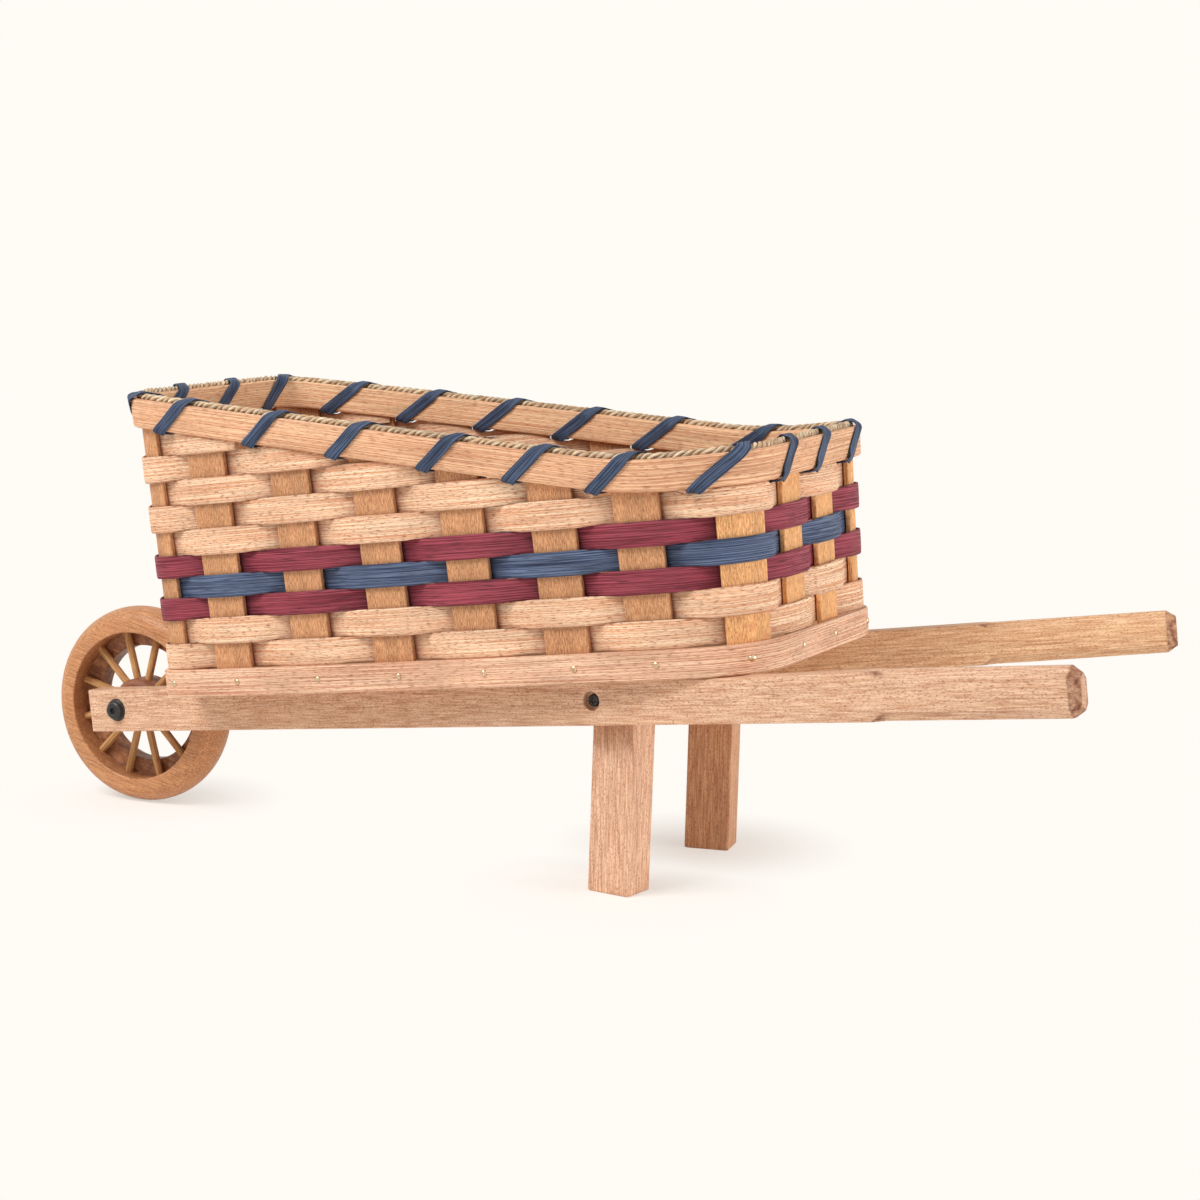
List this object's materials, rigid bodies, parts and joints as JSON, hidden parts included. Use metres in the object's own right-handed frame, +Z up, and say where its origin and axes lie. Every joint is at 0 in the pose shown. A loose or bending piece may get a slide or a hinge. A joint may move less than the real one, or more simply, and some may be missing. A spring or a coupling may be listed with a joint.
{
  "type": "wheelbarrow basket",
  "caption": "Woven reed basket with dyed rows and a lashed rim on a small wooden wheelbarrow frame, with splayed handles, legs and a spoked wheel that turns, for flowers or display.",
  "frame": {"origin": "on the ground under the middle of the overall length and width", "axes": "+Z up, +X from the wheel to the handles, +Y to the far side in the picture, so the pictured side is -Y"},
  "size_m": [0.7004, 0.2582, 0.2714],
  "materials": {
    "rail_wood": "satin",
    "wheel_wood": "satin",
    "spoke_wood": "satin",
    "stake_splint": "satin",
    "natural_reed": "matte",
    "red_reed": "matte",
    "blue_reed": "matte",
    "seagrass": "matte",
    "black_hardware": "satin"
  },
  "bodies": {
    "frame": {"rail_left": "rail_wood", "rail_right": "rail_wood", "leg_left": "rail_wood", "leg_right": "rail_wood", "leg_screw_left": "black_hardware", "leg_screw_right": "black_hardware", "axle_bolt": "black_hardware", "axle_nut": "black_hardware", "base_board": "rail_wood", "base_hoop": "natural_reed", "stake_01": "stake_splint", "stake_02": "stake_splint", "stake_03": "stake_splint", "stake_04": "stake_splint", "stake_05": "stake_splint", "stake_06": "stake_splint", "stake_07": "stake_splint", "stake_08": "stake_splint", "stake_09": "stake_splint", "stake_10": "stake_splint", "stake_11": "stake_splint", "stake_12": "stake_splint", "stake_13": "stake_splint", "stake_14": "stake_splint", "stake_15": "stake_splint", "stake_16": "stake_splint", "stake_17": "stake_splint", "stake_18": "stake_splint", "stake_19": "stake_splint", "stake_20": "stake_splint", "weaver_01": "natural_reed", "weaver_02": "natural_reed", "weaver_03": "red_reed", "weaver_04": "blue_reed", "weaver_05": "red_reed", "weaver_06": "natural_reed", "weaver_07": "natural_reed", "weaver_08": "natural_reed", "weaver_09": "natural_reed", "weaver_10": "natural_reed", "rim_outer": "natural_reed", "rim_inner": "natural_reed", "rim_filler": "seagrass", "rim_lashing": "blue_reed"},
    "wheel": {"wheel_ring": "wheel_wood", "wheel_hub": "wheel_wood", "spoke_01": "spoke_wood", "spoke_02": "spoke_wood", "spoke_03": "spoke_wood", "spoke_04": "spoke_wood", "spoke_05": "spoke_wood", "spoke_06": "spoke_wood", "spoke_07": "spoke_wood", "spoke_08": "spoke_wood", "spoke_09": "spoke_wood", "spoke_10": "spoke_wood", "spoke_11": "spoke_wood", "spoke_12": "spoke_wood"}
  },
  "joints": [
    {"name": "wheel_spin", "type": "hinge", "parent": "frame", "child": "wheel", "pos_m": [-0.2867, 0, 0.0635], "axis": [0, 1, 0], "continuous": true}
  ]
}
